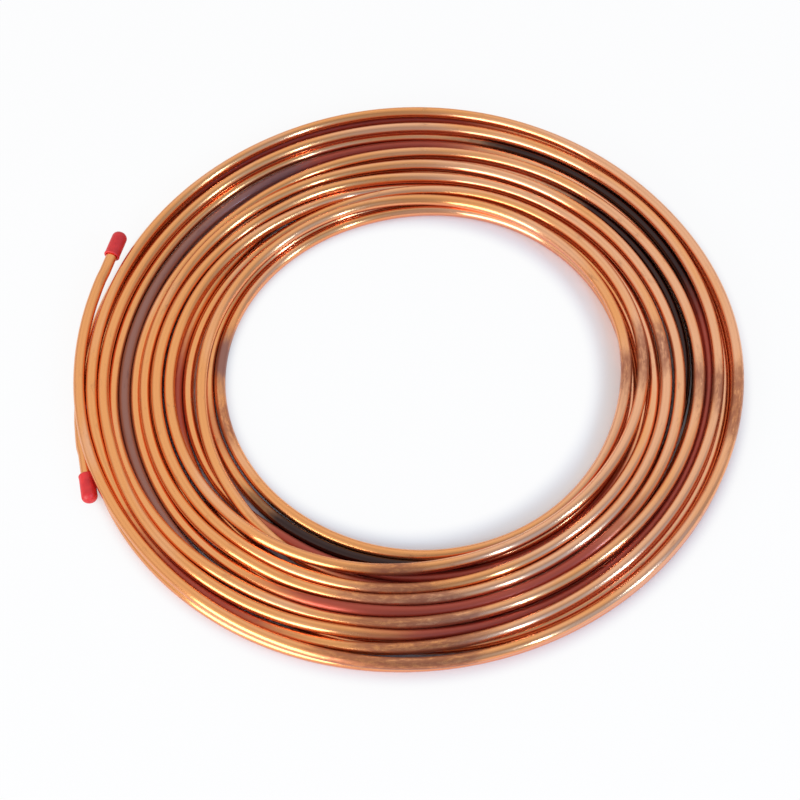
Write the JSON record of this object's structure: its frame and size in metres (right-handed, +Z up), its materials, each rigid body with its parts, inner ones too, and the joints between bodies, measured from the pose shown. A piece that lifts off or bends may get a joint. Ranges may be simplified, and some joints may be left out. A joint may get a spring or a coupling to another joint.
{
  "type": "copper tube coil",
  "caption": "Flat pancake coil of soft copper tube wound in two layers, both ends on the outside under push-on red end caps.",
  "frame": {"origin": "on the coil's axis, in the plane of the floor that the lowest turns lie on", "axes": "+Z up along the coil's axis; both loose ends are on the -X side, the upper one towards +Y and the lower one towards -Y"},
  "size_m": [0.3644, 0.36, 0.0159],
  "materials": {
    "copper": "bright drawn copper, lightly tarnished",
    "red_vinyl": "soft satin dipped vinyl"
  },
  "bodies": {
    "root": {"copper_tube": "copper", "end_cap_upper": "red_vinyl", "end_cap_lower": "red_vinyl"}
  },
  "joints": []
}
